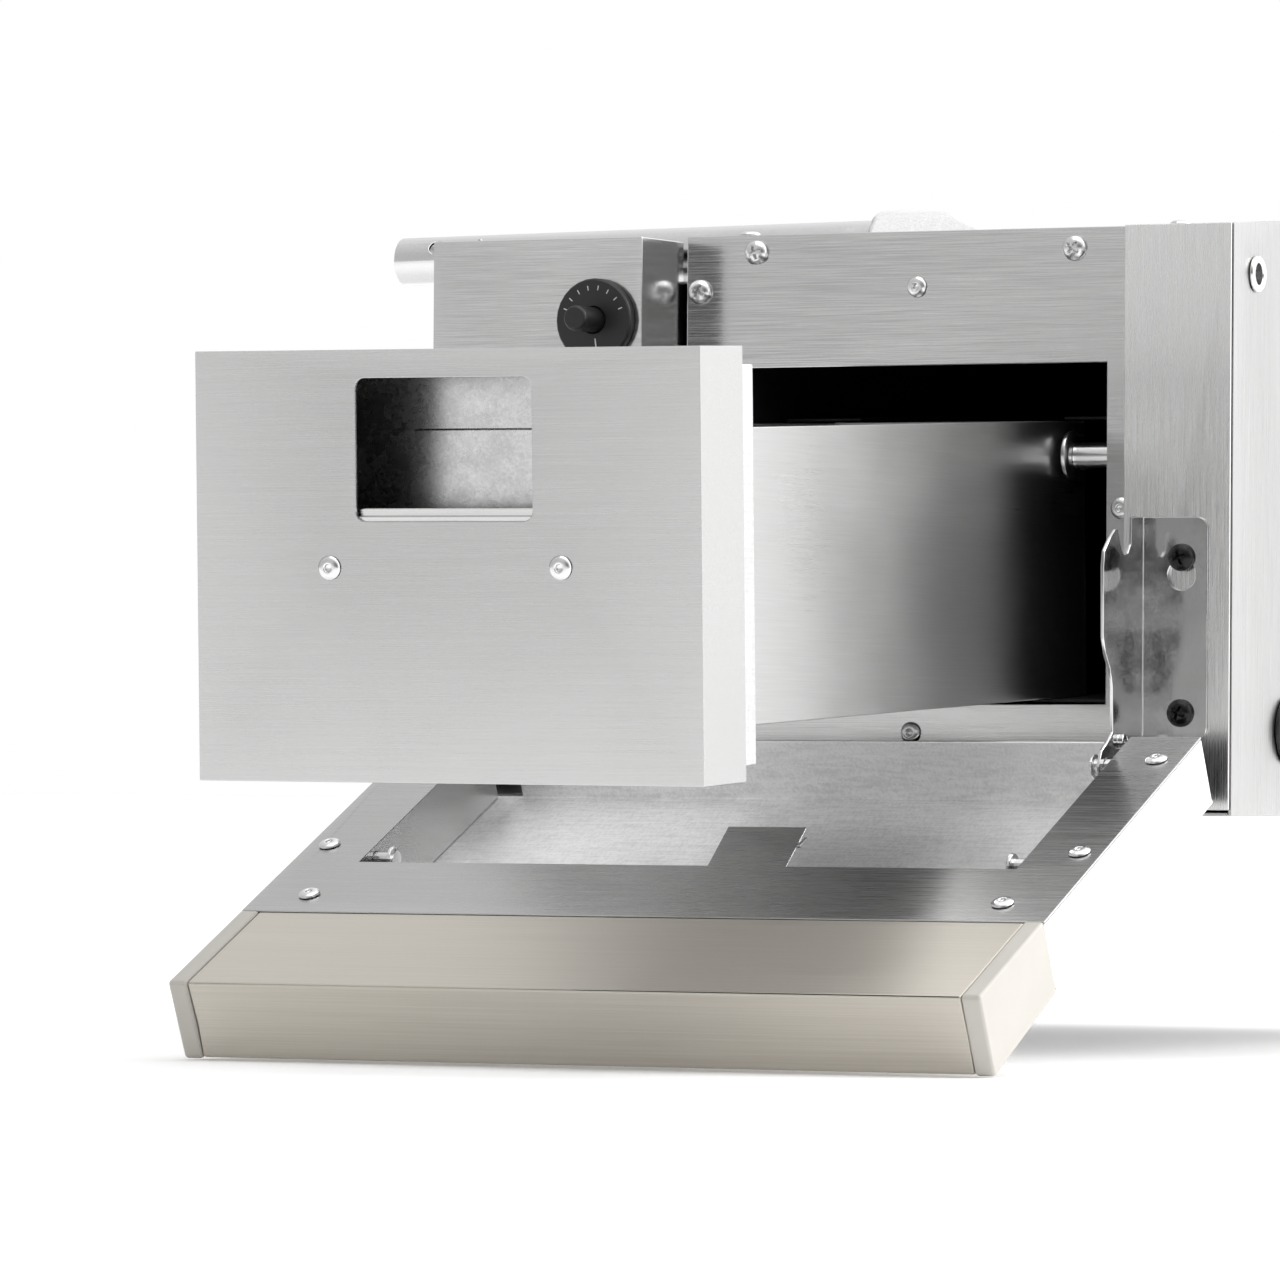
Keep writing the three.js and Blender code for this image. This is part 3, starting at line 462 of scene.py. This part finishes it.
def turned(place, profile, segments, relief=None):
    """Vertices and faces of a turned piece. profile is [radius, height] in mm, from the middle of
    the outer face down; relief(x, y) is how deep its outer face is cut there."""
    centre = 0.004    # mm, so that the middle is a tiny ring instead of one point
    verts, faces = [], []
    for i, (r, h) in enumerate(profile):
        for k in range(segments):
            a = 2 * math.pi * k / segments
            x, y = max(r, centre) * math.cos(a), max(r, centre) * math.sin(a)
            drop = relief(x, y) if relief and h > -relief.reach else 0.0
            verts.append(place @ (Vector((x, y, h - drop)) * MM))
        if i:
            for k in range(segments):
                n = (k + 1) % segments
                a, b = (i - 1) * segments, i * segments
                faces.append((a + k, b + k, b + n, a + n))
    faces.append(tuple(range(segments)))
    last = (len(profile) - 1) * segments
    faces.append(tuple(reversed(range(last, last + segments))))
    return verts, faces


# ---- rivets -----------------------------------------------------------------------------------
def rivet_profile(head, rise, sheet):
    """Dome with the mandrel's dimple, the barrel through the sheet and the swollen tail. In mm:
    the head's radius and height, and the thickness of the sheet."""
    dome = [(0, -0.95), (head * 0.2, -0.95), (head * 0.27, -0.8), (head * 0.31, -0.2),
            (head * 0.36, -0.02), (head * 0.44, 0.0), (head * 0.6, -0.07), (head * 0.76, -0.27),
            (head * 0.9, -0.62), (head * 0.975, -1.0), (head, -1.2), (head * 0.985, -rise),
            (head * 0.6, -rise)]
    under = -(rise + sheet + 0.6)
    tail = [(1.7, -rise), (1.7, under), (2.5, under - 0.3), (2.6, under - 2.4), (0, under - 3)]
    return dome + tail


RIVET_RISE = 1.45
# how many, head radius, sheet, the way they face, body
RIVETS = {
    "panel_rivet": (3, 4.1, 1.2, FRONT, "housing"),
    "top_rivet": (2, 4.2, 1.2, UP, "housing"),
    "door_rivet": (6, 4.2, 1.0, UP, "door"),
    "drawer_rivet": (2, 4.3, 1.0, FRONT, "drawer"),
}
for base, (count, head, sheet, towards, body) in RIVETS.items():
    for n in range(1, count + 1):
        node = f"{base}_{n}"
        axis = own_axis(node, towards)
        place = facing(crown(node, axis), axis)
        verts, faces = turned(place, rivet_profile(head, RIVET_RISE, sheet), 40)
        o = mesh_piece(f"domed_{node}", verts, faces, BRIGHT_STEEL, body)
        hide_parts(node)


# ---- screws -----------------------------------------------------------------------------------
class CrossRecess:
    """Tapered cross recess of a screw: depth in mm at a point of the head."""
    reach = 1.2    # mm below the top of the head, where the recess stops being cut
    wall = 0.22    # mm over which the sides of an arm slope

    def __init__(self, radius, width, depth):
        self.radius, self.width, self.depth = radius, width, depth

    def __call__(self, x, y):
        arm = min(abs(x), abs(y))
        far = max(abs(x), abs(y))
        side = np.clip((self.width - arm) / self.wall, 0, 1)
        end = np.clip((self.radius - far) / (self.radius * 0.55), 0, 1)
        return float(self.depth * side * min(1.0, end * 1.5))


def screw_profile(head, rise, length):
    """Pan head, fine rings where the recess is cut, then the shank with its thread. In mm: the
    head's radius and height, and the length of the shank."""
    pitch, crest, root = 0.9, 1.95, 1.5
    face = [(head * t, -rise * 0.62 * (t ** 3.2)) for t in np.linspace(0, 0.93, 26)]
    rim = [(head * 0.975, -rise * 0.68), (head, -rise * 0.82), (head, -rise * 0.96),
           (head * 0.98, -rise), (2.1, -rise)]
    thread = []
    for i in range(int((length - 1.5) / pitch)):
        h = -rise - 0.5 - i * pitch
        thread += [(crest, h), (root, h - 0.45)]
    return face + rim + thread + [(1.4, -rise - length + 0.3), (0, -rise - length)]


# name, how many, head radius, head height, shank length, finish
SCREWS = (
    ("panel_screw", 3, 4.9, 2.9, 8, BRIGHT_STEEL, "bright_steel"),
    ("bracket_screw", 4, 5.2, 3.2, 9, BLACK_SCREW, "black_screw"),
)
SCREW_TURNS = (0.35, 0.9, 1.15, 0.6)    # radians each screw's cross is turned, as driven home
for base, count, head, rise, length, material, slot in SCREWS:
    for n in range(1, count + 1):
        node = f"{base}_{n}"
        place = facing(crown(node, FRONT), FRONT, SCREW_TURNS[n - 1])
        recess = CrossRecess(head * 0.6, 0.62, 1.7)
        verts, faces = turned(place, screw_profile(head, rise, length), 72, recess)
        o = mesh_piece(f"cross_{node}", verts, faces, material, "housing", 50)
        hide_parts(node)


# ---- marks on the switch ----------------------------------------------------------------------
def slab(place, x0, x1, y0, y1, z0, z1):
    """A block with chamfered upper edges, in the mm of a placed frame."""
    c = min(x1 - x0, y1 - y0) * 0.2
    rings = [(0.0, z0), (0.0, z1 - c * 0.5), (c, z1)]
    verts, faces = [], []
    for inset, z in rings:
        for x, y in ((x0 + inset, y0 + inset), (x1 - inset, y0 + inset),
                     (x1 - inset, y1 - inset), (x0 + inset, y1 - inset)):
            verts.append(place @ (Vector((x, y, z)) * MM))
    for ring in (0, 4):
        for k in range(4):
            n = (k + 1) % 4
            faces.append((ring + k, ring + n, ring + 4 + n, ring + 4 + k))
    return verts, faces + [(3, 2, 1, 0), (8, 9, 10, 11)]


def switch_marks():
    """A pointer and plain dial ticks on the switch's face, in place of its print."""
    low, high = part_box("switch_body")
    centre = Vector(((low.x + high.x) / 2, low.y, (low.z + high.z) / 2))
    verts, faces = [], []
    thick = 0.05
    # angle in degrees, inner and outer radius, half width in mm
    ticks = [(-82, 7.2, 12.4, 0.28)] + [(a, 11.6, 13.4, 0.18) for a in range(20, 161, 20)]
    for angle, r0, r1, half in ticks:
        place = facing(centre, FRONT) @ Matrix.Rotation(math.radians(angle), 4, "Z")
        v, f = slab(place, r0, r1, -half, half, -thick, thick)
        faces += [tuple(i + len(verts) for i in face) for face in f]
        verts += v
    mesh_piece("switch_marks", verts, faces, PRINT, "housing")


switch_marks()


# ---- floor, light and camera ------------------------------------------------------------------
def floor():
    """A pale floor just under the lowest point, that glows a little so it stays near white."""
    z, reach = cad_box[0].z - 0.0005, 40
    corners = [(-reach, -reach, z), (reach, -reach, z), (reach, reach, z), (-reach, reach, z)]
    mesh = bpy.data.meshes.new("floor")
    mesh.from_pydata(corners, [], [(0, 1, 2, 3)])
    s = Shader("floor_paint")
    speck = s.noise(9.0, 3.0)
    tint = s.mix(s.remap(speck, 0.3, 0.7, 0.0, 1.0), grey(0.93), grey(0.95))
    s.bsdf.inputs["Emission Color"].default_value = grey(1.0)
    s.bsdf.inputs["Emission Strength"].default_value = 0.08
    mesh.materials.append(s.surface(tint, s.remap(speck, 0.3, 0.7, 0.75, 0.85)))
    o = add("floor", mesh)


WORLD_STRENGTH = 1.7
BRIGHT_SIDE = Vector((0.8, 0.45, 0.4))      # right of the object, behind and above it
DARK_SIDE = Vector((0.447, -0.894, 0.02))   # in front of it, where the photo was taken from


def studio_world():
    """White to the eye; what the metal mirrors is brighter to the right and behind, and dark
    in the unlit part of the room in front of the object."""
    world = bpy.data.worlds.new("studio")
    bpy.context.scene.world = world
    world.use_nodes = True
    tree = world.node_tree
    tree.nodes.clear()
    new, link = tree.nodes.new, tree.links.new
    coord = new("ShaderNodeTexCoord")

    def along(direction):
        """The cosine between a ray and a direction."""
        dot = new("ShaderNodeVectorMath")
        dot.operation = "DOT_PRODUCT"
        dot.inputs[1].default_value = direction.normalized()
        link(coord.outputs["Generated"], dot.inputs[0])
        return dot.outputs["Value"]

    spread, ramp = new("ShaderNodeMapRange"), new("ShaderNodeValToRGB")
    spread.inputs["From Min"].default_value = -1.0
    stops = ramp.color_ramp.elements
    stops[0].position, stops[0].color = 0.0, grey(0.31)
    stops[1].position, stops[1].color = 1.0, grey(1.0)
    middle = stops.new(0.5)
    middle.color = grey(0.46)
    link(along(BRIGHT_SIDE), spread.inputs["Value"])
    link(spread.outputs["Result"], ramp.inputs["Fac"])

    shade, dim = new("ShaderNodeMapRange"), new("ShaderNodeMix")
    for key, number in (("From Min", 0.74), ("From Max", 0.97), ("To Min", 1.0), ("To Max", 0.14)):
        shade.inputs[key].default_value = number
    dim.data_type, dim.blend_type = "RGBA", "MULTIPLY"
    dim.inputs["Factor"].default_value = 1.0
    link(along(DARK_SIDE), shade.inputs["Value"])
    link(ramp.outputs["Color"], dim.inputs["A"])
    link(shade.outputs["Result"], dim.inputs["B"])

    path, blend = new("ShaderNodeLightPath"), new("ShaderNodeMix")
    glow, out = new("ShaderNodeBackground"), new("ShaderNodeOutputWorld")
    blend.data_type = "RGBA"
    blend.inputs["B"].default_value = grey(1 / WORLD_STRENGTH)
    glow.inputs["Strength"].default_value = WORLD_STRENGTH
    link(path.outputs["Is Camera Ray"], blend.inputs["Factor"])
    link(dim.outputs["Result"], blend.inputs["A"])
    link(blend.outputs["Result"], glow.inputs["Color"])
    link(glow.outputs["Background"], out.inputs["Surface"])


def softbox(name, place, aim, side, watts):
    """A square area light, its side in metres, at place and turned towards aim."""
    light = bpy.data.lights.new(name, "AREA")
    light.shape = "RECTANGLE"
    light.size, light.size_y, light.energy = side, side, watts
    o = add(name, light)
    o.location = place
    o.rotation_mode = "QUATERNION"
    o.rotation_quaternion = (Vector(aim) - Vector(place)).to_track_quat("-Z", "Y")


floor()
studio_world()
softbox("key", (2.2, 0.9, 1.5), (0, -0.1, 0.1), 1.8, 42)
softbox("top", (0.1, -0.9, 2.2), (0, -0.2, 0.1), 1.8, 12)
bpy.context.scene.view_settings.view_transform = "Standard"

# the photo's camera, fitted to the edges of the housing, drawer and door
PHOTO_PX, FOCAL_PX, SENSOR_MM = 1280, 8667, 36.0
eye = Vector((1.41425, -3.2144, 0.0115))
right = Vector((0.89453, 0.44696, 0.00645))
up = Vector((0.00153, -0.01748, 0.99985))
forward = Vector((-0.447, 0.89438, 0.01632))
camera_data = bpy.data.cameras.new("camera")
camera_data.sensor_width = SENSOR_MM
camera_data.lens = FOCAL_PX * SENSOR_MM / PHOTO_PX
camera_data.clip_start, camera_data.clip_end = 0.05, 200
camera = add("camera", camera_data)
camera.matrix_world = Matrix((
    (right.x, up.x, -forward.x, eye.x),
    (right.y, up.y, -forward.y, eye.y),
    (right.z, up.z, -forward.z, eye.z),
    (0, 0, 0, 1),
))
bpy.context.scene.camera = camera
